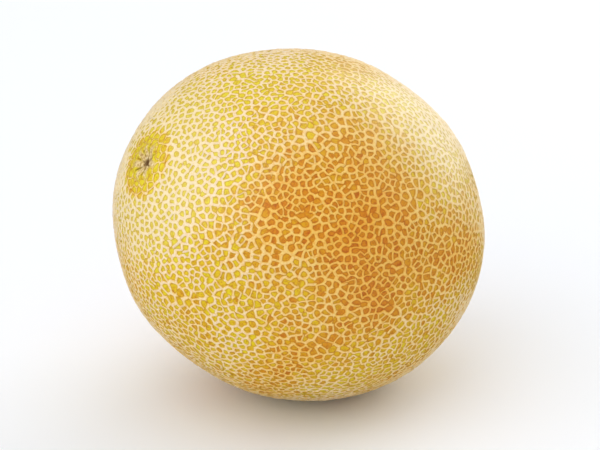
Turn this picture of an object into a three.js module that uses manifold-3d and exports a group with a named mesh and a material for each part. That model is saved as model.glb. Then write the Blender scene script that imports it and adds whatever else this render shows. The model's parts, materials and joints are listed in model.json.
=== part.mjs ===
// A whole netted melon, lying on its side on the small flat spot that it rests on.
//
// Millimetres, +Z up. The origin is on the surface that the melon rests on, under the middle
// of the fruit. The long axis of the fruit lies in the XZ plane, with its stem end towards -X
// and raised above the horizontal.

import * as THREE from 'three';
import { mergeVertices } from 'three/addons/utils/BufferGeometryUtils.js';
import Module from 'manifold-3d';

// Driving dimensions.
const fruitLength = 147; // from the stem end to the blossom end
const fruitDiameter = 132; // across the middle
const stemEndRise = THREE.MathUtils.degToRad(30); // slope of the fruit's axis, stem end up
const restDepth = 1.4; // how far the lowest point is flattened where the fruit rests
const stemScarRadius = 5.5; // the corky star where the stem came away
const stemScarDepth = 1.0;
const blossomScarRadius = 4; // the smaller cork spot at the other end
const blossomScarDepth = 0.5;

// Fineness of the faceted solid.
const ringsFromPoleToPole = 30;
const segmentsAround = 48;

const halfLength = fruitLength / 2;
const halfDiameter = fruitDiameter / 2;

const rindMaterial = new THREE.MeshStandardMaterial({
  name: 'netted_rind',
  color: 0xdcae45,
  roughness: 0.55,
  metalness: 0,
});

// Depth of a shallow round hollow of this radius, at this distance from its middle.
function hollowDepth(distance, radius, depth) {
  return depth * (1 - THREE.MathUtils.smoothstep(distance, 0.3 * radius, 1.2 * radius));
}

// One point of the half outline of the fruit, an ellipse, at an angle from the stem end.
// The outline dips a little at each end, where the two scars are.
function outlinePoint(angleFromStem) {
  const fromAxis = halfDiameter * Math.sin(angleFromStem);
  const alongAxis = halfLength * Math.cos(angleFromStem);
  const dip = alongAxis > 0
    ? hollowDepth(fromAxis, stemScarRadius, stemScarDepth)
    : -hollowDepth(fromAxis, blossomScarRadius, blossomScarDepth);
  return new THREE.Vector2(fromAxis, alongAxis - dip);
}

// The angles of the outline's points, evenly spaced but for two more inside each scar.
function outlineAngles() {
  const step = Math.PI / ringsFromPoleToPole;
  const stemScarAngles = [0.4, 1].map((share) => (share * stemScarRadius) / halfDiameter);
  const blossomScarAngles = [1, 0.4].map(
    (share) => Math.PI - (share * blossomScarRadius) / halfDiameter,
  );
  const evenAngles = [];
  for (let ring = 1.5; ring < ringsFromPoleToPole - 1; ring += 1) {
    evenAngles.push(ring * step);
  }
  return [0, ...stemScarAngles, ...evenAngles, ...blossomScarAngles, Math.PI];
}

// The closed body of revolution, with the fruit's axis along Y and its stem end at +Y.
// The profile runs from the blossom end to the stem end, so that its faces point outwards.
function fruitOfRevolution() {
  const profile = outlineAngles().map(outlinePoint).reverse();
  profile[0].x = 0;
  profile[profile.length - 1].x = 0;
  return new THREE.LatheGeometry(profile, segmentsAround);
}

// How far the lowest point of the tilted ellipse is below its centre.
function depthBelowCentre() {
  return Math.hypot(
    halfLength * Math.sin(stemEndRise),
    halfDiameter * Math.cos(stemEndRise),
  );
}

const wasm = await Module();
wasm.setup();

// A closed geometry as a solid that can be cut.
function solidFrom(geometry) {
  const bare = geometry.clone();
  bare.deleteAttribute('normal');
  bare.deleteAttribute('uv');
  const merged = mergeVertices(bare, 1e-4);
  return new wasm.Manifold(new wasm.Mesh({
    numProp: 3,
    vertProperties: new Float32Array(merged.attributes.position.array),
    triVerts: new Uint32Array(merged.index.array),
  }));
}

// A cut solid back as a geometry.
function geometryFrom(solid) {
  const mesh = solid.getMesh();
  const geometry = new THREE.BufferGeometry();
  geometry.setAttribute('position', new THREE.BufferAttribute(mesh.vertProperties, 3));
  geometry.setIndex(new THREE.BufferAttribute(mesh.triVerts, 1));
  geometry.computeVertexNormals();
  return geometry;
}

// The melon: the body of revolution is turned so that its stem end points to -X and up,
// raised until its lowest point is just under the surface, and cut flat at the surface.
function melonGeometry() {
  const fruit = fruitOfRevolution();
  fruit.rotateX(Math.PI / 2);
  fruit.rotateY(stemEndRise - Math.PI / 2);
  fruit.translate(0, 0, depthBelowCentre() - restDepth);

  const spaceAbove = new THREE.BoxGeometry(2 * fruitLength, 2 * fruitLength, 2 * fruitLength);
  spaceAbove.translate(0, 0, fruitLength);
  return geometryFrom(solidFrom(fruit).intersect(solidFrom(spaceAbove)));
}

const melon = new THREE.Mesh(melonGeometry(), rindMaterial);
melon.name = 'melon';

const group = new THREE.Group();
group.add(melon);

export default group;
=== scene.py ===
import json
import math

import bpy
import numpy as np
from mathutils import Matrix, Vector
from mathutils.geometry import delaunay_2d_cdt

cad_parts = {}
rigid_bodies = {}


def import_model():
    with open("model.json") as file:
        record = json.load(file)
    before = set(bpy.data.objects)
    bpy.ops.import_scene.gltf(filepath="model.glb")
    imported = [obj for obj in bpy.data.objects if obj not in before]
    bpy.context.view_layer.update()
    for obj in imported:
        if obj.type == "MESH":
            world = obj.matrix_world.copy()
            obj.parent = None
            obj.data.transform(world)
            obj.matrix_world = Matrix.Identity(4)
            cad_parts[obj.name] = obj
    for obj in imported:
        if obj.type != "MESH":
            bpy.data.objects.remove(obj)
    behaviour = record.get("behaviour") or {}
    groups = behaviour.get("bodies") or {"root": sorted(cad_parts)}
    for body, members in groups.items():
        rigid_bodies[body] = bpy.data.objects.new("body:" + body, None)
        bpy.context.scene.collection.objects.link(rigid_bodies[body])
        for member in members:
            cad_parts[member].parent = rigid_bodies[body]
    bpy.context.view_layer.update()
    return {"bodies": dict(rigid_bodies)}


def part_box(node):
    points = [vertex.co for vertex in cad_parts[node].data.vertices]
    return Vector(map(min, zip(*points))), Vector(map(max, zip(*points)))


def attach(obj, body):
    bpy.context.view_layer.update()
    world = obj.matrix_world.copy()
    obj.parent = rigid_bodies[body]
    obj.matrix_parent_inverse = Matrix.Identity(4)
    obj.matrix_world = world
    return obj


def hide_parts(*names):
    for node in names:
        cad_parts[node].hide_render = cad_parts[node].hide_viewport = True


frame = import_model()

mm = 0.001  # one millimetre, in metres

# The fruit is an ellipse turned about its long axis. The axis lies in the XZ plane, with the
# stem end towards -X and raised, and its two half sizes follow from the CAD box.
fruit = {
    "stemRise": 30.0,  # degrees above the horizontal
    "swell": 0.45,  # mm, the slow unevenness of the whole rind
    "swellWave": 60.0,  # mm
}

# The net: one cell of skin for each seed point. Seeds stand on rings round the long axis, and
# these rows give a cell's size, in mm, at some distances from the stem end along the rind.
net = {
    "randomSeed": 23,
    "distance": (0.0, 5.5, 7.5, 13.0, 17.0, 34.0, 50.0, 75.0, 110.0, 145.0, 185.0, 208.0, 213.0),
    "around": (1.3, 1.5, 4.1, 4.0, 3.3, 3.1, 3.0, 3.05, 3.1, 3.1, 3.0, 2.8, 1.6),
    "along": (1.2, 1.4, 2.9, 2.6, 1.85, 1.95, 2.1, 2.2, 2.25, 2.3, 2.35, 2.3, 1.5),
    "jitter": 0.42,  # how far a seed strays, as a share of its cell
    "droppedShare": 0.16,  # of the seeds, which leaves some cells much larger
    "settle": 0.55,  # how far a seed then moves to the middle of its cell, which evens out slivers
    "spared": 14.0,  # mm from the stem end inside which none is dropped
    "wobble": 0.13,  # how far a line's middle strays sideways, as a share of its length
    "wobbleMost": 0.005,  # and at most, as a share of the fruit's half width
    "force": (0.62, 1.15),  # how strongly a line stands, from the faintest to the strongest
    "lengthwiseFainter": 0.2,  # how much fainter lines along the fruit's axis are
    "fadedShare": 0.10,  # of the lines, which sink into the skin
    "fadedForce": 0.18,  # what is left of them
    "shortLine": 0.25,  # mm, below which a line is one knot
    "height": 0.5,  # mm, of a line of force 1
    "halfWidth": 1.0,  # mm, from a line's crest to its foot, about
    "footMost": 0.55,  # how far a foot may be on the way to its cell's middle
    "fadeIn": (2.5, 4.0),  # mm over which the net rises outside the stem scar and the blossom scar
    "smoothSkin": (10.5, 14.0),  # mm from the stem end where the low net there gives way
    "smoothSkinForce": 0.4,
    "slow": 0.16,  # how much the net rises and falls slowly
    "slowWave": 26.0,  # mm
}


# An sRGB hex colour as linear light: c / 12.92 below 0.04045, else ((c + 0.055) / 1.055) ^ 2.4.
def linearColour(hexColour):
    parts = [int(hexColour[i:i + 2], 16) / 255 for i in (1, 3, 5)]
    light = [c / 12.92 if c <= 0.04045 else ((c + 0.055) / 1.055) ** 2.4 for c in parts]
    return (*light, 1.0)


# 0 below low, 1 above high and 3 t^2 - 2 t^3 between, with t the share of the way across.
def smoothStep(low, high, x):
    t = np.clip((x - low) / (high - low), 0.0, 1.0)
    return t * t * (3.0 - 2.0 * t)


# Each row divided by its own length.
def unit(rows):
    return rows / np.linalg.norm(rows, axis=1, keepdims=True)


# Smooth noise of about -1 to 1: the sum of sine waves with random directions, lengths and
# phases, sin(2 pi p.d / wave + phase), over 1.6 times the square root of half their count.
def waveNoise(points, wave, randomSeed, waves=14):
    chance = np.random.default_rng(randomSeed)
    directions = unit(chance.normal(size=(waves, 3)))
    lengths = wave * chance.uniform(0.7, 1.5, waves)
    phases = chance.uniform(0.0, 2.0 * np.pi, waves)
    total = np.sin(2.0 * np.pi * (points @ directions.T) / lengths + phases).sum(axis=1)
    return total / math.sqrt(waves / 2.0) / 1.6


# The half sizes and centre of the fruit, in mm, from its CAD box. A tilted ellipse reaches
# sqrt(a^2 cos^2 + b^2 sin^2) along X, b along Y and sqrt(a^2 sin^2 + b^2 cos^2) along Z.
def measureFruit():
    low, high = (np.array(corner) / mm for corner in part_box("melon"))
    rise = math.radians(fruit["stemRise"])
    halfWide = (high[1] - low[1]) / 2
    halfReach = (high[0] - low[0]) / 2
    halfLong = math.sqrt(halfReach ** 2 - (halfWide * math.sin(rise)) ** 2) / math.cos(rise)
    halfTall = math.hypot(halfLong * math.sin(rise), halfWide * math.cos(rise))
    centre = np.array([(low[0] + high[0]) / 2, (low[1] + high[1]) / 2, high[2] - halfTall])
    # Columns: across and up, across and level, and along the axis towards the stem.
    turn = np.array([
        [math.sin(rise), 0.0, -math.cos(rise)],
        [0.0, 1.0, 0.0],
        [math.cos(rise), 0.0, math.sin(rise)],
    ])
    return halfWide, halfLong, centre, turn, low[2]


halfWide, halfLong, fruitCentre, fruitTurn, floorLevel = measureFruit()

# Distance along the rind from the stem end, for an outline point at angle t from the axis:
# the sum of sqrt((b cos t)^2 + (a sin t)^2) dt.
outlineAngle = np.linspace(0.0, np.pi, 2001)
outlineStep = np.hypot(halfWide * np.cos(outlineAngle), halfLong * np.sin(outlineAngle))
outlineDistance = np.concatenate(
    ([0.0], np.cumsum((outlineStep[1:] + outlineStep[:-1]) / 2) * (outlineAngle[1] - outlineAngle[0])))


# The same distance for any direction from the fruit's centre.
def stemDistance(directions):
    angle = np.arccos(np.clip(directions[:, 2], -1.0, 1.0))
    return np.interp(angle, outlineAngle, outlineDistance)


# Seed points as directions from the fruit's centre. A ring starts each time that the sum of
# ds / along passes a whole number, it holds 2 pi r / around seeds, each seed strays, and
# some are dropped.
def seedDirections():
    chance = np.random.default_rng(net["randomSeed"])
    along = np.interp(outlineDistance, net["distance"], net["along"])
    steps = np.diff(outlineDistance) / ((along[1:] + along[:-1]) / 2)
    ringNumber = np.concatenate(([0.0], np.cumsum(steps)))
    ringCount = int(round(ringNumber[-1]))
    ringNumber *= ringCount / ringNumber[-1]
    ringDistance = np.interp(np.arange(ringCount) + 0.5, ringNumber, outlineDistance)
    ringAngle = np.interp(ringDistance, outlineDistance, outlineAngle)
    ringAround = np.interp(ringDistance, net["distance"], net["around"])
    ringRadius = halfWide * np.sin(ringAngle)
    seedCount = np.maximum(3, np.round(2.0 * np.pi * ringRadius / ringAround)).astype(int)

    ring = np.repeat(np.arange(ringCount), seedCount)
    placeInRing = np.arange(len(ring)) - np.repeat(np.cumsum(seedCount) - seedCount, seedCount)
    start = chance.uniform(0.0, 1.0, ringCount)[ring]
    stray = net["jitter"] * chance.uniform(-1.0, 1.0, (2, len(ring)))
    azimuth = 2.0 * np.pi * (placeInRing + start + stray[0]) / seedCount[ring]
    ringAlong = np.interp(ringDistance, net["distance"], net["along"])[ring]
    distance = np.clip(ringDistance[ring] + stray[1] * ringAlong, 0.2, outlineDistance[-1] - 0.4)
    angle = np.interp(distance, outlineDistance, outlineAngle)
    seeds = np.column_stack((
        np.sin(angle) * np.cos(azimuth), np.sin(angle) * np.sin(azimuth), np.cos(angle)))
    dropped = (chance.uniform(size=len(seeds)) < net["droppedShare"]) & (distance > net["spared"])
    return np.vstack((seeds[~dropped], [[0.0, 0.0, -1.0]]))


# Triangles between neighbouring seeds. The sphere is projected from its last seed, at the
# blossom end, onto a plane, x / (1 + z) and y / (1 + z), which keeps circles round, so that
# the plane's Delaunay triangles are the sphere's. Its open rim is closed to that last seed.
def joinSeeds(seeds):
    plane = seeds[:-1, :2] / (1.0 + seeds[:-1, 2:])
    found = delaunay_2d_cdt([Vector(p) for p in plane.tolist()], [], [], 0, 1e-9)
    triangles = np.array(found[2])
    sides = triangles[:, [0, 1, 1, 2, 2, 0]].reshape(-1, 2)
    key = np.sort(sides, axis=1) @ np.array([len(seeds), 1])
    _, back, count = np.unique(key, return_inverse=True, return_counts=True)
    rim = sides[count[back] == 1]
    last = np.full((len(rim), 1), len(seeds) - 1)
    triangles = np.vstack((triangles, np.hstack((rim[:, ::-1], last))))
    a, b, c = (seeds[triangles[:, i]] for i in range(3))
    inward = np.einsum("ij,ij->i", np.cross(b - a, c - a), a + b + c) < 0.0
    triangles[inward] = triangles[inward][:, ::-1]
    return triangles


# The middle of the circle through each triangle's seeds: the triangle's normal.
def circleMiddles(seeds, triangles):
    a, b, c = (seeds[triangles[:, i]] for i in range(3))
    return unit(np.cross(b - a, c - a))


# The net as a graph: a corner for each triangle of seeds, at the middle of its circle, and a
# line for each side that two triangles share.
def layNet():
    seeds = seedDirections()
    triangles = joinSeeds(seeds)
    corners = circleMiddles(seeds, triangles)
    cellMiddle = np.zeros_like(seeds)
    np.add.at(cellMiddle, triangles.reshape(-1), np.repeat(corners, 3, axis=0))
    cellMiddle[-1] = seeds[-1]
    seeds = unit(seeds + net["settle"] * (unit(cellMiddle) - seeds))
    triangles = joinSeeds(seeds)
    corners = circleMiddles(seeds, triangles)
    sides = triangles[:, [0, 1, 1, 2, 2, 0]].reshape(-1, 2)
    key = np.sort(sides, axis=1) @ np.array([len(seeds), 1])
    order = np.argsort(key, kind="stable").reshape(-1, 2)
    return seeds, triangles, corners, sides, order


print("frame read, fruit", round(2 * halfWide), "mm across and", round(2 * halfLong), "mm long")


# The corky star where the stem came away, and the plain spot at the blossom end.
stemScar = {
    "radius": 5.2,  # mm
    "depth": 1.0,  # mm
    "rimHeight": 0.45,  # mm
    "arms": 7,
    "armDepth": 0.55,  # mm
    "randomSeed": 5,
}
blossomScar = {
    "radius": 3.4,
    "depth": 0.45,
    "rimHeight": 0.2,
    "arms": 5,
    "armDepth": 0.15,
    "randomSeed": 8,
}


# Height, cork and cracks of a round scar. With r the share of its radius, the hollow is
# depth (1 - step(r)), the rim is a bump just past r = 1, and a crack is a narrow dip wherever
# the wavering angle, times half the number of arms, has a sine near zero. The cork reaches
# further between the cracks than along them, which makes it a star.
def scarShape(scar, fromAxis, azimuth):
    share = fromAxis / scar["radius"]
    chance = np.random.default_rng(scar["randomSeed"])
    waver = 0.5 * np.sin(azimuth + chance.uniform(0, 6.3))
    waver = waver + 0.35 * np.sin(2 * azimuth + chance.uniform(0, 6.3))
    waver = waver + 0.25 * np.sin(3.5 * share + 2.0 * azimuth)
    arm = np.abs(np.sin(0.5 * scar["arms"] * azimuth + waver))
    crack = np.exp(-(arm * (share + 0.12) / 0.18) ** 2) * (1.0 - smoothStep(0.85, 1.4, share))
    middle = 1.0 - smoothStep(0.16, 0.42, share)
    hollow = 1.0 - smoothStep(0.35, 1.1, share)
    rim = np.exp(-((share - 1.05) / 0.22) ** 2)
    height = scar["rimHeight"] * rim - scar["depth"] * hollow - scar["armDepth"] * crack
    height = height - 0.5 * scar["armDepth"] * middle
    edge = 0.62 + 0.75 * arm ** 2
    cork = 1.0 - smoothStep(edge - 0.2, edge + 0.2, share)
    return height, cork, np.maximum(crack, 0.9 * middle)


# Places rind points, given as directions and a height above the plain rind in mm:
# p = (b x, b y, a z) + n (height + swell + scars), turned, moved, and kept above the floor.
def placeOnFruit(directions, height):
    sizes = np.array([halfWide, halfWide, halfLong])
    plain = directions * sizes
    normal = unit(directions / sizes)
    fromAxis = np.hypot(plain[:, 0], plain[:, 1])
    azimuth = np.arctan2(directions[:, 1], directions[:, 0])
    stemSide = directions[:, 2] > 0.0
    stemShape = scarShape(stemScar, fromAxis, azimuth)
    blossomShape = scarShape(blossomScar, fromAxis, azimuth)
    scarHeight, cork, crack = (np.where(stemSide, a, b) for a, b in zip(stemShape, blossomShape))
    swell = fruit["swell"] * waveNoise(plain, fruit["swellWave"], 3, waves=9)
    points = plain + normal * (height + swell + scarHeight)[:, None]
    points = points @ fruitTurn.T + fruitCentre
    points[:, 2] = np.maximum(points[:, 2], floorLevel)
    return points * mm, cork, crack


# How strongly the net stands at each direction: none on the scars, low on the smooth skin
# around the stem scar, full from there on, and rising and falling slowly over the rind.
def netStrength(directions):
    distance = stemDistance(directions)
    toBlossom = outlineDistance[-1] - distance
    stemEdge, blossomEdge = stemScar["radius"], blossomScar["radius"]
    fromStem = smoothStep(stemEdge, stemEdge + net["fadeIn"][0], distance)
    fromBlossom = smoothStep(blossomEdge, blossomEdge + net["fadeIn"][1], toBlossom)
    lowered = (1.0 - net["smoothSkinForce"]) * (1.0 - smoothStep(*net["smoothSkin"], distance))
    slow = 1.0 + net["slow"] * waveNoise(directions * halfWide, net["slowWave"], 12)
    return fromStem * (1.0 - lowered) * fromBlossom * slow


# Builds the whole rind as one closed mesh whose edges follow the net. Every cell has a middle
# point and a foot point at each of its corners; the crest points at corners and at the
# middles of lines are shared by the cells beside them.
def makeRind():
    chance = np.random.default_rng(net["randomSeed"] + 1)
    seeds, triangles, corners, sides, order = layNet()
    cellCount, cornerCount, lineCount = len(seeds), len(corners), len(order)

    # One line for each pair of directed sides; the second side's triangle is across it.
    firstTriangle, secondTriangle = order[:, 0] // 3, order[:, 1] // 3
    start, end = corners[secondTriangle], corners[firstTriangle]
    span = end - start
    lineLength = np.linalg.norm(span, axis=1)
    sideways = unit(np.cross(unit(start + end), span + 1e-12))
    stray = net["wobble"] * lineLength * chance.normal(size=lineCount)
    stray = np.clip(stray, -net["wobbleMost"], net["wobbleMost"])
    straight = unit(start + end)
    lineMiddle = unit(straight + sideways * stray[:, None])

    # Lines that run along the fruit's axis are a little fainter than those around it.
    alongShare = np.abs(span[:, 2]) / np.maximum(lineLength, 1e-9)
    lineForce = chance.uniform(*net["force"], lineCount) * (1.0 - net["lengthwiseFainter"] * alongShare)
    faded = chance.uniform(size=lineCount) < net["fadedShare"]
    lineForce = np.where(faded, net["fadedForce"] * lineForce, lineForce)
    lineOfSide = np.empty(len(sides), dtype=int)
    lineOfSide[order[:, 0]] = np.arange(lineCount)
    lineOfSide[order[:, 1]] = np.arange(lineCount)
    cornerForce = lineForce[lineOfSide.reshape(-1, 3)].max(axis=1)

    # Both ends and the middle of a very short line stand alike, or it would be a cliff.
    short = lineLength * halfWide < net["shortLine"]
    shortEnds = np.column_stack((firstTriangle[short], secondTriangle[short]))
    level = cornerForce[shortEnds].max(axis=1)
    np.maximum.at(cornerForce, shortEnds, level[:, None])
    lineForce[short] = level

    crest = np.vstack((corners, lineMiddle))
    crestForce = np.concatenate((cornerForce, lineForce)) * netStrength(crest)

    # Feet: from each corner towards the cell's middle, further from a line that stands higher.
    footCell = triangles.reshape(-1)
    footCrest = np.repeat(np.arange(cornerCount), 3)
    cellMiddle = np.zeros((cellCount, 3))
    np.add.at(cellMiddle, footCell, crest[footCrest])
    cellMiddle = unit(cellMiddle)
    inward = cellMiddle[footCell] - crest[footCrest]
    reach = np.linalg.norm(inward, axis=1)
    halfWidth = net["halfWidth"] * (0.5 + 0.6 * np.clip(crestForce[footCrest], 0.0, 1.4)) / halfWide
    share = np.minimum(1.15 * halfWidth / reach, net["footMost"])
    foot = unit(crest[footCrest] + inward * share[:, None])

    directions = np.vstack((crest, foot, cellMiddle))
    line = np.concatenate((crestForce, np.zeros(len(foot) + cellCount)))
    tone = chance.uniform(-1.0, 1.0, cellCount)
    cellTone = np.concatenate((np.zeros(len(crest)), tone[footCell], tone))

    # Four triangles for each side of each cell, from corner u by the line's middle to corner v.
    footStart = len(crest)
    middleStart = footStart + len(foot)
    sideIndex = np.concatenate((order[:, 0], order[:, 1]))
    otherIndex = np.concatenate((order[:, 1], order[:, 0]))
    lineIndex = np.tile(np.arange(lineCount), 2)
    cell = sides[sideIndex, 0]
    cornerV, cornerU = sideIndex // 3, otherIndex // 3
    # The side's own cell is its first seed in this triangle and its second in the other.
    footV = footStart + 3 * cornerV + sideIndex % 3
    footU = footStart + 3 * cornerU + (otherIndex % 3 + 1) % 3
    crestLine = cornerCount + lineIndex
    middle = middleStart + cell
    faces = np.vstack((
        np.column_stack((footU, cornerU, crestLine)),
        np.column_stack((footU, crestLine, footV)),
        np.column_stack((footV, crestLine, cornerV)),
        np.column_stack((middle, footU, footV)),
    ))

    # A line that strays so far that a face beside it turns over is laid straight again.
    a, b, c = (directions[faces[:, i]] for i in range(3))
    turnedOver = np.einsum("ij,ij->i", np.cross(b - a, c - a), a) <= 0.0
    strayed = np.tile(lineIndex, 4)[turnedOver]
    directions[cornerCount + strayed] = straight[strayed]
    points, cork, crack = placeOnFruit(directions, net["height"] * line)
    isFoot = np.zeros(len(directions), dtype=bool)
    isFoot[footStart:middleStart] = True
    return points, faces, directions, line, cellTone, cork, crack, isFoot


# Puts arrays into a mesh object. Every face is a triangle.
def meshObject(name, points, faces):
    mesh = bpy.data.meshes.new(name)
    mesh.vertices.add(len(points))
    mesh.vertices.foreach_set("co", points.astype(np.float32).ravel())
    mesh.loops.add(faces.size)
    mesh.loops.foreach_set("vertex_index", faces.astype(np.int32).ravel())
    mesh.polygons.add(len(faces))
    mesh.polygons.foreach_set("loop_start", np.arange(0, faces.size, 3, dtype=np.int32))
    mesh.update(calc_edges=True)
    mesh.validate()
    mesh.polygons.foreach_set("use_smooth", np.ones(len(faces), dtype=bool))
    piece = bpy.data.objects.new(name, mesh)
    bpy.context.collection.objects.link(piece)
    return piece


# Stores one number for each vertex, for the material to read.
def setAttribute(mesh, name, values):
    attribute = mesh.attributes.new(name, "FLOAT", "POINT")
    attribute.data.foreach_set("value", values.astype(np.float32))


# A map of the whole rind for baking: the six sides of a cube round the fruit, three by two.
# Each triangle goes on the side that its middle faces, at 4 / pi atan(x / z), and the same
# for y, with z the direction's share towards that side. Each side fills 0.92 of its tile.
def cubeMap(mesh, directions, faces):
    corner = directions[faces]
    middle = corner.mean(axis=1)
    axis = np.abs(middle).argmax(axis=1)
    row = np.arange(len(faces))
    side = 2 * axis + (middle[row, axis] < 0.0)
    towards = np.abs(corner[row, :, axis])
    across = np.arctan(corner[row, :, (axis + 1) % 3] / towards) * 4.0 / np.pi
    along = np.arctan(corner[row, :, (axis + 2) % 3] / towards) * 4.0 / np.pi
    place = np.stack((
        ((side % 3)[:, None] + 0.5 + 0.46 * across) / 3.0,
        ((side // 3)[:, None] + 0.5 + 0.46 * along) / 2.0), axis=2)
    layer = mesh.uv_layers.new(name="OFBake")
    layer.data.foreach_set("uv", place.astype(np.float32).ravel())


# How ripe the skin is, 0 for yellow and 1 for deep orange, with painted light and shade laid on
# as ripeness in some of its cheeks.
ripeningAndPaintedLight = {
    # each cheek: azimuth and elevation of its middle, its spread in degrees, how much riper
    # the orange cheek in front is partly ripening and partly painted shade; the paler cheeks on top, on
    # the right and below are partly painted highlight and fill light
    "cheeksAndPaintedLight": (
        (-7.0, 19.0, 38.0, 0.46), (-14.0, -26.0, 32.0, -0.05), (165.0, -5.0, 55.0, 0.42),
        (-10.0, 82.0, 28.0, -0.14), (-42.0, 40.0, 24.0, 0.09), (50.0, 48.0, 24.0, -0.22),
        (54.0, 18.0, 26.0, -0.14)),
    "start": 18.0,  # mm from the stem end where the yellow starts to turn
    "full": 95.0,  # mm from the stem end where it turns as it would anywhere
    "base": 0.28,
    "blossomEnd": 0.35,  # how much paler the blossom end stays
    "blossomFade": (150.0, 205.0),  # mm from the stem end over which it turns so
    "ringEdge": 12.3,  # mm from the stem end to the golden edge of the smooth skin
    "ringEdgeWidth": 1.1,  # mm
    "ringEdgeRipe": 0.27,
    "noise": 0.11,
    "noiseWave": 38.0,  # mm
    "cellTone": 0.13,  # how much one cell differs from the next
    "bloomRing": (11.5, 16.0, 22.0, 46.0),  # mm from the stem end: starts, full, fades, gone
    "bloomInside": 0.15,  # what there is of it on the smooth skin inside that ring
    # as the cheeks, but how much more bloom; these patches are partly real pale bloom and partly
    # painted sheen, a highlight laid on as pale skin and cork
    "bloomAndSheenPatches": ((50.0, 43.0, 26.0, 1.1), (205.0, 52.0, 26.0, 0.6), (-66.0, 75.0, 18.0, 0.35)),
}


# The sum of strength exp(-(angle / spread)^2) over some round patches, with angle the one
# between the point's direction and the patch's.
def patches(directions, rows):
    outward = unit(directions @ fruitTurn.T)
    total = np.zeros(len(directions))
    for azimuth, elevation, spread, strength in rows:
        a, e = math.radians(azimuth), math.radians(elevation)
        middle = np.array([math.sin(a) * math.cos(e), -math.cos(a) * math.cos(e), math.sin(e)])
        angle = np.degrees(np.arccos(np.clip(outward @ middle, -1.0, 1.0)))
        total += strength * np.exp(-(angle / spread) ** 2)
    return total


# Ripeness is base plus the cheeks, some of which are painted light and shade, less towards both
# ends, with a golden ring near the stem, strength exp(-((distance - edge) / width)^2), and slow noise.
def skinRipenessAndPaintedLight(directions):
    ripeAndPaintedLight = ripeningAndPaintedLight["base"] + patches(directions, ripeningAndPaintedLight["cheeksAndPaintedLight"])
    distance = stemDistance(directions)
    ripeAndPaintedLight *= smoothStep(ripeningAndPaintedLight["start"], ripeningAndPaintedLight["full"], distance)
    ripeAndPaintedLight *= 1.0 - ripeningAndPaintedLight["blossomEnd"] * smoothStep(*ripeningAndPaintedLight["blossomFade"], distance)
    fromEdge = (distance - ripeningAndPaintedLight["ringEdge"]) / ripeningAndPaintedLight["ringEdgeWidth"]
    ripeAndPaintedLight += ripeningAndPaintedLight["ringEdgeRipe"] * np.exp(-fromEdge ** 2)
    return ripeAndPaintedLight + ripeningAndPaintedLight["noise"] * waveNoise(directions * halfWide, ripeningAndPaintedLight["noiseWave"], 31)


# The pale waxy bloom and painted sheen, 0 to 1: a ring round the stem scar's own smooth skin, thin
# bloom on that skin, and the patches, which are partly real bloom and partly painted sheen.
def bloomAndPaintedSheen(directions):
    distance = stemDistance(directions)
    starts, full, fades, gone = ripeningAndPaintedLight["bloomRing"]
    inside = ripeningAndPaintedLight["bloomInside"]
    ring = 1.0 - smoothStep(fades, gone, distance)
    ring *= inside + (1.0 - inside) * smoothStep(starts, full, distance)
    return np.clip(ring + patches(directions, ripeningAndPaintedLight["bloomAndSheenPatches"]), 0.0, 1.0)


# Adds one node, with its properties, its colour stops and its inputs. An input given as a
# socket is linked, and any other is the socket's own value.
def addNode(tree, kind, inputs=None, stops=None, **properties):
    node = tree.nodes.new(kind)
    for name, value in properties.items():
        setattr(node, name, value)
    if stops:
        ramp = node.color_ramp
        while len(ramp.elements) < len(stops):
            ramp.elements.new(0.5)
        for element, (place, colour) in zip(ramp.elements, stops):
            element.position = place
            element.color = linearColour(colour)
    for name, value in (inputs or {}).items():
        if isinstance(value, bpy.types.NodeSocket):
            tree.links.new(value, node.inputs[name])
        else:
            node.inputs[name].default_value = value
    return node


rindLook = {
    # skin from lemon yellow, through gold, to deep orange
    "skin": (
        (0.0, "#EEDC04"), (0.25, "#ECC800"), (0.5, "#E49A00"), (0.75, "#DE8600"), (1.0, "#C86800")),
    # the net's crests and its sides, from near the stem to the ripest skin
    "cork": (
        (0.0, "#FFE9CE"), (0.25, "#FFE6B4"), (0.5, "#FFD678"), (0.75, "#F8BC40"), (1.0, "#E89E28")),
    "corkSide": (
        (0.0, "#F9DE7E"), (0.25, "#F4CA4C"), (0.5, "#F0B420"), (0.75, "#E8960A"), (1.0, "#D27A04")),
    "foot": "#E4C88A",  # times the skin beside a line: painted shade in the crease at the net's foot
    "skinRoughness": 0.45,
    "corkRoughness": 0.85,
    "ior": 1.45,  # of a plant's skin and wax, about
    "specular": 0.15,
    "wax": 0.85,
    "waxRoughness": 0.33,
    # line height, with the grain's waver, at which each part starts and is full
    "footShadeEdge": (0.16, 0.42),
    "netEdge": (0.36, 0.56),
    "crestEdge": (0.46, 0.86),
    "mottle": 7.0,  # mm
    "mottleRipe": 0.36,  # how much riper the ripest of the mottle is than the least ripe
    "grain": 0.9,  # mm; real cork grain is 0.1 mm, drawn coarser so that it shows
    "grainWaver": 0.34,  # how far the grain moves the net's edge
    "grainHeight": 0.35,  # mm
    "grainStrength": 0.7,
    "crumb": (0.46, 0.68),  # the part of the grain where the cork is crumbly
    "crumbColour": "#F8E0B4",  # times the cork there
    "fleck": 1.4,  # mm
    "fleckPart": (0.46, 0.72),  # the part of the fleck noise where the skin is darker
    "fleckColour": "#E0B070",  # times the skin there
    "bloomAndSheenCover": 0.6,  # how far full bloom and painted sheen hide skin and cork
    "bloomAndSheenSpread": 0.1,  # how far it widens the net
    "paleSkin": "#F3E86E",  # skin and cork under the bloom and the painted sheen
    "paleCork": "#FAE8B4",
    "scarCork": ((0.3, "#AE8440"), (0.5, "#E0C280"), (0.7, "#FAE6B4")),
    "crack": "#5C3608",
}
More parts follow.
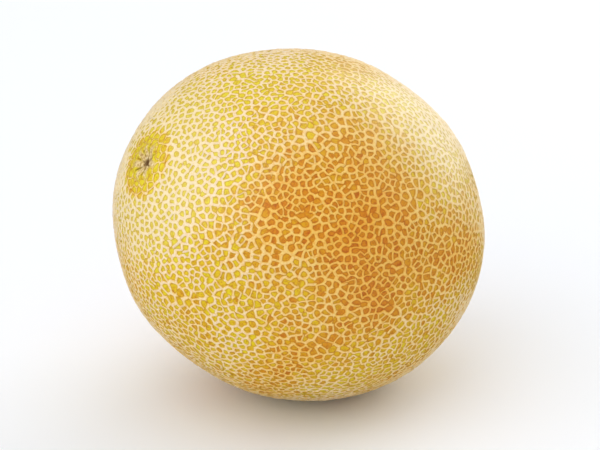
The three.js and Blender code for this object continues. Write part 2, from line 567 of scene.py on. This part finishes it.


# Netted melon rind: a thin skin, yellow to orange, under a dry cork net that stays matt and
# pale, with one even film of wax over both. The wax's broad soft sheen follows the plain
# fruit, because it fills the net's small steps. Its colours also hold painted shade at the
# net's foot, painted light and shade in the ripeness, and a painted sheen in the pale patches.
def nettedRindMaterial():
    look = rindLook
    material = bpy.data.materials.new("nettedRind")
    material.use_nodes = True
    tree = material.node_tree
    tree.nodes.clear()
    place = addNode(tree, "ShaderNodeTexCoord").outputs["Object"]
    line = addNode(tree, "ShaderNodeAttribute", attribute_name="netLine").outputs["Fac"]
    ripeAndPaintedLight = addNode(tree, "ShaderNodeAttribute", attribute_name="ripenessAndPaintedLight").outputs["Fac"]
    bloomAndSheen = addNode(tree, "ShaderNodeAttribute", attribute_name="bloomAndSheen").outputs["Fac"]
    cork = addNode(tree, "ShaderNodeAttribute", attribute_name="scarCork").outputs["Fac"]
    crack = addNode(tree, "ShaderNodeAttribute", attribute_name="scarCrack").outputs["Fac"]

    mottle = addNode(tree, "ShaderNodeTexNoise", {
        "Vector": place, "Scale": 1 / (look["mottle"] * mm), "Detail": 3.0,
        "Roughness": 0.55}).outputs["Fac"]
    grain = addNode(tree, "ShaderNodeTexNoise", {
        "Vector": place, "Scale": 1 / (look["grain"] * mm), "Detail": 2.0,
        "Roughness": 0.6}).outputs["Fac"]
    fleck = addNode(tree, "ShaderNodeTexNoise", {
        "Vector": place, "Scale": 1 / (look["fleck"] * mm), "Detail": 3.0,
        "Roughness": 0.7}).outputs["Fac"]

    # Ripeness, with its painted light and shade and the mottle round its middle, picks the colours of
    # the skin and of the cork.
    mottledRipeAndLight = addNode(tree, "ShaderNodeMath", {
        0: mottle, 1: look["mottleRipe"], 2: ripeAndPaintedLight}, operation="MULTIPLY_ADD").outputs[0]
    centredRipeAndLight = addNode(tree, "ShaderNodeMath", {
        0: mottledRipeAndLight, 1: look["mottleRipe"] / 2}, operation="SUBTRACT").outputs[0]
    skin = addNode(tree, "ShaderNodeValToRGB", {
        0: centredRipeAndLight}, stops=look["skin"]).outputs["Color"]
    corkTop = addNode(tree, "ShaderNodeValToRGB", {
        0: centredRipeAndLight}, stops=look["cork"]).outputs["Color"]
    corkSide = addNode(tree, "ShaderNodeValToRGB", {
        0: centredRipeAndLight}, stops=look["corkSide"]).outputs["Color"]

    # painted sheen, with some real bloom: the patches pale the skin and the cork as a highlight would
    bloomAndSheenPart = addNode(tree, "ShaderNodeMath", {
        0: bloomAndSheen, 1: look["bloomAndSheenCover"]}, operation="MULTIPLY").outputs[0]
    fleckPart = addNode(tree, "ShaderNodeMapRange", {
        "Value": fleck, "From Min": look["fleckPart"][0],
        "From Max": look["fleckPart"][1]}).outputs["Result"]
    fleckedSkin = addNode(tree, "ShaderNodeMix", {
        0: fleckPart, 6: skin, 7: linearColour(look["fleckColour"])},
        data_type="RGBA", blend_type="MULTIPLY").outputs[2]
    paleSkin = addNode(tree, "ShaderNodeMix", {
        0: bloomAndSheenPart, 6: fleckedSkin, 7: linearColour(look["paleSkin"])},
        data_type="RGBA").outputs[2]

    # The net's edge wavers with the grain, and spreads over the skin under the bloom and the painted
    # sheen.
    wavering = addNode(tree, "ShaderNodeMath", {
        0: grain, 1: look["grainWaver"], 2: line}, operation="MULTIPLY_ADD").outputs[0]
    spread = addNode(tree, "ShaderNodeMath", {
        0: bloomAndSheen, 1: look["bloomAndSheenSpread"], 2: wavering}, operation="MULTIPLY_ADD").outputs[0]
    footShadePart = addNode(tree, "ShaderNodeMapRange", {
        "Value": spread, "From Min": look["footShadeEdge"][0], "From Max": look["footShadeEdge"][1]},
        interpolation_type="SMOOTHSTEP").outputs["Result"]
    netPart = addNode(tree, "ShaderNodeMapRange", {
        "Value": spread, "From Min": look["netEdge"][0], "From Max": look["netEdge"][1]},
        interpolation_type="SMOOTHSTEP").outputs["Result"]
    crestPart = addNode(tree, "ShaderNodeMapRange", {
        "Value": spread, "From Min": look["crestEdge"][0],
        "From Max": look["crestEdge"][1]}).outputs["Result"]
    crumbPart = addNode(tree, "ShaderNodeMapRange", {
        "Value": grain, "From Min": look["crumb"][0],
        "From Max": look["crumb"][1]}).outputs["Result"]

    # painted shade: the skin darkens towards the foot of each line, as if in its crease
    shadedFootSkin = addNode(tree, "ShaderNodeMix", {
        0: footShadePart, 6: paleSkin, 7: linearColour(look["foot"])},
        data_type="RGBA", blend_type="MULTIPLY").outputs[2]
    cleanCork = addNode(tree, "ShaderNodeMix", {
        0: crestPart, 6: corkSide, 7: corkTop}, data_type="RGBA").outputs[2]
    crumbedCork = addNode(tree, "ShaderNodeMix", {
        0: crumbPart, 6: cleanCork, 7: linearColour(look["crumbColour"])},
        data_type="RGBA", blend_type="MULTIPLY").outputs[2]
    paleCork = addNode(tree, "ShaderNodeMix", {
        0: bloomAndSheenPart, 6: crumbedCork, 7: linearColour(look["paleCork"])},
        data_type="RGBA").outputs[2]
    netted = addNode(tree, "ShaderNodeMix", {
        0: netPart, 6: shadedFootSkin, 7: paleCork}, data_type="RGBA").outputs[2]
    scarCork = addNode(tree, "ShaderNodeValToRGB", {
        0: grain}, stops=look["scarCork"]).outputs["Color"]
    withScar = addNode(tree, "ShaderNodeMix", {
        0: cork, 6: netted, 7: scarCork}, data_type="RGBA").outputs[2]
    withCrack = addNode(tree, "ShaderNodeMix", {
        0: crack, 6: withScar, 7: linearColour(look["crack"])}, data_type="RGBA").outputs[2]

    # Cork is dry: rougher than the skin, and grainy.
    dryness = addNode(tree, "ShaderNodeMath", {0: netPart, 1: cork}, operation="MAXIMUM").outputs[0]
    roughness = addNode(tree, "ShaderNodeMapRange", {
        "Value": dryness, "To Min": look["skinRoughness"],
        "To Max": look["corkRoughness"]}).outputs["Result"]
    grainHeight = addNode(tree, "ShaderNodeMath", {
        0: grain, 1: dryness}, operation="MULTIPLY").outputs[0]
    bump = addNode(tree, "ShaderNodeBump", {
        "Height": grainHeight, "Strength": look["grainStrength"],
        "Distance": look["grainHeight"] * mm}).outputs["Normal"]
    plain = addNode(tree, "ShaderNodeAttribute", attribute_name="plainNormal").outputs["Vector"]
    waxNormal = addNode(tree, "ShaderNodeVectorTransform", {
        "Vector": plain}, vector_type="NORMAL", convert_from="OBJECT",
        convert_to="WORLD").outputs["Vector"]
    shader = addNode(tree, "ShaderNodeBsdfPrincipled", {
        "Base Color": withCrack, "Roughness": roughness, "Normal": bump, "IOR": look["ior"],
        "Specular IOR Level": look["specular"], "Coat Weight": look["wax"],
        "Coat Roughness": look["waxRoughness"], "Coat Normal": waxNormal})
    addNode(tree, "ShaderNodeOutputMaterial", {"Surface": shader.outputs["BSDF"]})
    return material


# The rind with what its material reads: line height, ripeness with painted light and shade, bloom
# with painted sheen, scars and the plain fruit's normal, (x / b, y / b, z / a) made unit and turned.
def makeMelon():
    points, faces, directions, line, cellTone, cork, crack, isFoot = makeRind()
    melon = meshObject("melonRind", points, faces)
    mesh = melon.data
    cubeMap(mesh, directions, faces)
    plain = unit(directions / np.array([halfWide, halfWide, halfLong])) @ fruitTurn.T
    normal = mesh.attributes.new("plainNormal", "FLOAT_VECTOR", "POINT")
    normal.data.foreach_set("vector", plain.astype(np.float32).ravel())
    setAttribute(mesh, "netLine", line)
    ripenessAndPaintedLight = skinRipenessAndPaintedLight(directions) + ripeningAndPaintedLight["cellTone"] * cellTone
    setAttribute(mesh, "ripenessAndPaintedLight", np.clip(ripenessAndPaintedLight, 0.0, 1.0))
    setAttribute(mesh, "bloomAndSheen", bloomAndPaintedSheen(directions))
    setAttribute(mesh, "scarCork", cork)
    setAttribute(mesh, "scarCrack", crack)

    # The net meets the skin at a crease, which is sharp where both ends of an edge are feet.
    ends = np.empty(2 * len(mesh.edges), dtype=np.int32)
    mesh.edges.foreach_get("vertices", ends)
    sharp = isFoot[ends.reshape(-1, 2)].all(axis=1)
    crease = mesh.attributes.new("sharp_edge", "BOOLEAN", "EDGE")
    crease.data.foreach_set("value", sharp)

    mesh.materials.append(nettedRindMaterial())
    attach(melon, bodyName)
    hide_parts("melon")
    print("rind made,", len(faces), "triangles")
    return melon


paper = {
    "half": 1.6,  # m, from its middle to its edge
    "colour": "#F3F6FB",
    "roughness": 0.9,
}


# Pale seamless paper: a matt surface that keeps the shadow soft and adds almost no colour.
def paperMaterial():
    material = bpy.data.materials.new("seamlessPaper")
    material.use_nodes = True
    shader = material.node_tree.nodes["Principled BSDF"]
    shader.inputs["Base Color"].default_value = linearColour(paper["colour"])
    shader.inputs["Roughness"].default_value = paper["roughness"]
    return material


# A square of paper at the level of the fruit's flat spot.
def makeFloor():
    corners = paper["half"] * np.array([[-1, -1], [1, -1], [1, 1], [-1, 1]])
    points = np.column_stack((corners, np.full(4, floorLevel * mm)))
    floor = meshObject("paperFloor", points, np.array([[0, 1, 2], [0, 2, 3]]))
    floor.data.materials.append(paperMaterial())
    floor.visible_glossy = False  # its white would dull the colours of the rind's underside


# Azimuth 0 is at -Y and 90 at +X, so that the camera and lights are placed alike.
def placeRound(thing, azimuth, elevation, distance):
    a, e = math.radians(azimuth), math.radians(elevation)
    target = Vector(fruitCentre * mm)
    back = Vector((math.sin(a) * math.cos(e), -math.cos(a) * math.cos(e), math.sin(e)))
    thing.location = target + back * distance
    thing.rotation_euler = back.to_track_quat("Z", "Y").to_euler()


studio = {
    "cameraAzimuth": -28.0,
    "cameraElevation": 22.0,
    "lens": 135.0,  # mm
    "sensor": 36.0,  # mm
    "frameHeight": 0.172,  # m, what the view takes in at the fruit
    "world": 0.68,  # the room's light
    "worldInSheen": 0.05,  # and what reflections see of it
    "horizon": 0.85,  # the backdrop's light where it meets the floor, 1 at eye level and above
    "backdropLow": -0.06,  # the sine of the angle below eye level where it is that low
    # name: azimuth, elevation, distance m, size m, power W
    "lights": {
        "keySoftbox": (-78.0, 38.0, 2.0, 2.6, 19.5),
        "sheenSoftbox": (110.0, 22.0, 2.0, 1.7, 18.5),
        "topSoftbox": (10.0, 85.0, 2.0, 1.6, 5.0),
    },
}


# The camera, three soft lights and the room.
def makeStudio():
    camera = bpy.data.objects.new("camera", bpy.data.cameras.new("camera"))
    bpy.context.collection.objects.link(camera)
    camera.data.lens = studio["lens"]
    camera.data.sensor_width = studio["sensor"]
    frameWidth = studio["frameHeight"] * 600 / 450
    distance = frameWidth * studio["lens"] / studio["sensor"]
    placeRound(camera, studio["cameraAzimuth"], studio["cameraElevation"], distance)
    bpy.context.scene.camera = camera

    for name, (azimuth, elevation, away, size, power) in studio["lights"].items():
        lamp = bpy.data.lights.new(name, "AREA")
        lamp.size = size
        lamp.energy = power
        light = bpy.data.objects.new(name, lamp)
        bpy.context.collection.objects.link(light)
        placeRound(light, azimuth, elevation, away)

    # The room is white to the eye and fills the shadows, but it is almost black in reflections,
    # as if screened off, so that it doesn't dull the rind's colours.
    world = bpy.data.worlds.new("studioWhite")
    world.use_nodes = True
    tree = world.node_tree
    tree.nodes.clear()
    ray = addNode(tree, "ShaderNodeLightPath").outputs
    outward = addNode(tree, "ShaderNodeTexCoord").outputs["Generated"]
    rise = addNode(tree, "ShaderNodeSeparateXYZ", {"Vector": outward}).outputs["Z"]
    backdrop = addNode(tree, "ShaderNodeMapRange", {
        "Value": rise, "From Min": studio["backdropLow"], "From Max": 0.0,
        "To Min": studio["horizon"]}).outputs["Result"]
    fill = addNode(tree, "ShaderNodeMapRange", {
        "Value": ray["Is Glossy Ray"], "To Min": studio["world"],
        "To Max": studio["worldInSheen"]}).outputs["Result"]
    seen = addNode(tree, "ShaderNodeMapRange", {
        "Value": ray["Is Camera Ray"], "To Min": fill, "To Max": backdrop}).outputs["Result"]
    background = addNode(tree, "ShaderNodeBackground", {
        "Color": linearColour("#FFFFFF"), "Strength": seen}).outputs["Background"]
    addNode(tree, "ShaderNodeOutputWorld", {"Surface": background})
    bpy.context.scene.world = world
    bpy.context.scene.view_settings.view_transform = "Standard"


bodyName = next(iter(frame["bodies"]))
makeStudio()
makeFloor()
print("studio and floor made")
makeMelon()
